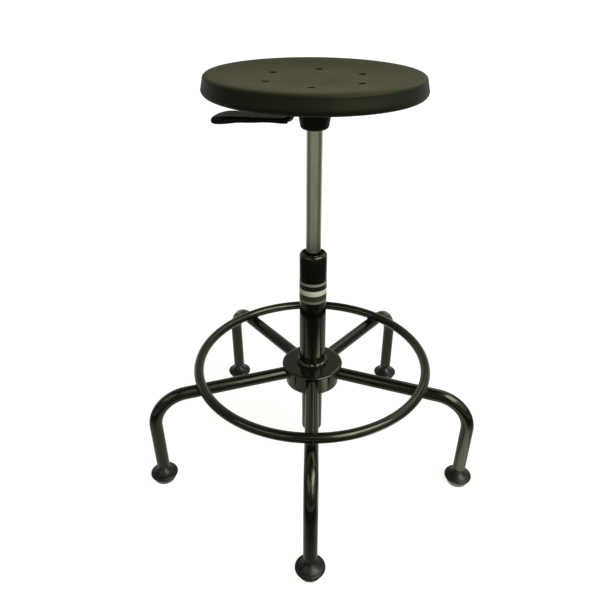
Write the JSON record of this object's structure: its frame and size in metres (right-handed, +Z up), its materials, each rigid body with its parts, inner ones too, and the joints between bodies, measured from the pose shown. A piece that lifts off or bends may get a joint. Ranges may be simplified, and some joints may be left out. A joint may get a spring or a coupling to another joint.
{
  "type": "stool",
  "caption": "Round dished seat on a telescoping column, five bent tube legs from a drum hub, a foot ring on the legs and a release lever under the seat.",
  "frame": {"origin": "on the floor, on the axis of the column", "axes": "+Z up along the column; -Y towards the front leg; +X to the right seen from the front; the lever points to -X"},
  "size_m": [0.6704, 0.6402, 0.7962],
  "materials": {
    "black_enamel": "satin black powder coat",
    "glide_plastic": "moulded, semi-gloss",
    "black_plastic": "moulded, low sheen",
    "label_film": "bare printed film",
    "zinc_steel": "zinc plated",
    "bearing_steel": "ground",
    "stop_rubber": "moulded",
    "bright_tube": "hard chromed, polished",
    "seat_board_wood": "plywood, hidden",
    "seat_polyurethane": "self-skinned, fine grain"
  },
  "bodies": {
    "base": {"leg_front": "black_enamel", "glide_front": "glide_plastic", "leg_right": "black_enamel", "glide_right": "glide_plastic", "leg_rear_right": "black_enamel", "glide_rear_right": "glide_plastic", "leg_rear_left": "black_enamel", "glide_rear_left": "glide_plastic", "leg_left": "black_enamel", "glide_left": "glide_plastic", "leg_plugs": "black_plastic", "ring_welds": "black_enamel", "foot_ring": "black_enamel", "hub_collar": "black_enamel", "hub_cap": "black_enamel", "hub_floor": "black_enamel", "column_weld": "black_enamel", "column_tube": "black_enamel", "column_label": "label_film", "guide_bush": "black_plastic", "column_floor": "zinc_steel", "lower_race": "bearing_steel", "ball_cage": "black_plastic", "thrust_balls": "bearing_steel"},
    "spindle": {"upper_race": "bearing_steel", "piston_rod": "bearing_steel", "retaining_clip": "zinc_steel", "piston": "zinc_steel", "bump_stop": "stop_rubber"},
    "seat": {"pressure_tube": "bright_tube", "tube_plug": "zinc_steel", "valve_body": "zinc_steel", "taper_socket": "black_enamel", "socket_collar": "black_plastic", "release_housing": "black_enamel", "seat_plate": "black_enamel", "seat_screws": "zinc_steel", "pivot_pin": "zinc_steel", "seat_board": "seat_board_wood", "seat": "seat_polyurethane"},
    "lever": {"lever_arm": "black_enamel", "lever_grip": "black_plastic"},
    "valve_pin": {"valve_pin": "bearing_steel"}
  },
  "joints": [
    {"name": "seat_swivel", "type": "hinge", "parent": "base", "child": "spindle", "pos_m": [0, 0, 0.0745], "axis": [0, 0, 1], "continuous": true},
    {"name": "seat_height", "type": "slide", "parent": "spindle", "child": "seat", "axis": [0, 0, 1], "range_m": [-0.2, 0]},
    {"name": "lever_lift", "type": "hinge", "parent": "seat", "child": "lever", "pos_m": [-0.036, 0, 0.745], "axis": [0, 1, 0], "range_deg": [0, 4.5], "stiffness_Nm_per_rad": 8, "springref_deg": -4.58},
    {"name": "valve_press", "type": "slide", "parent": "seat", "child": "valve_pin", "axis": [0, 0, -1], "range_m": [0, 0.003]}
  ],
  "couplings": [
    {"joint": "valve_press", "follows": "lever_lift", "m_per_rad": 0.036}
  ]
}
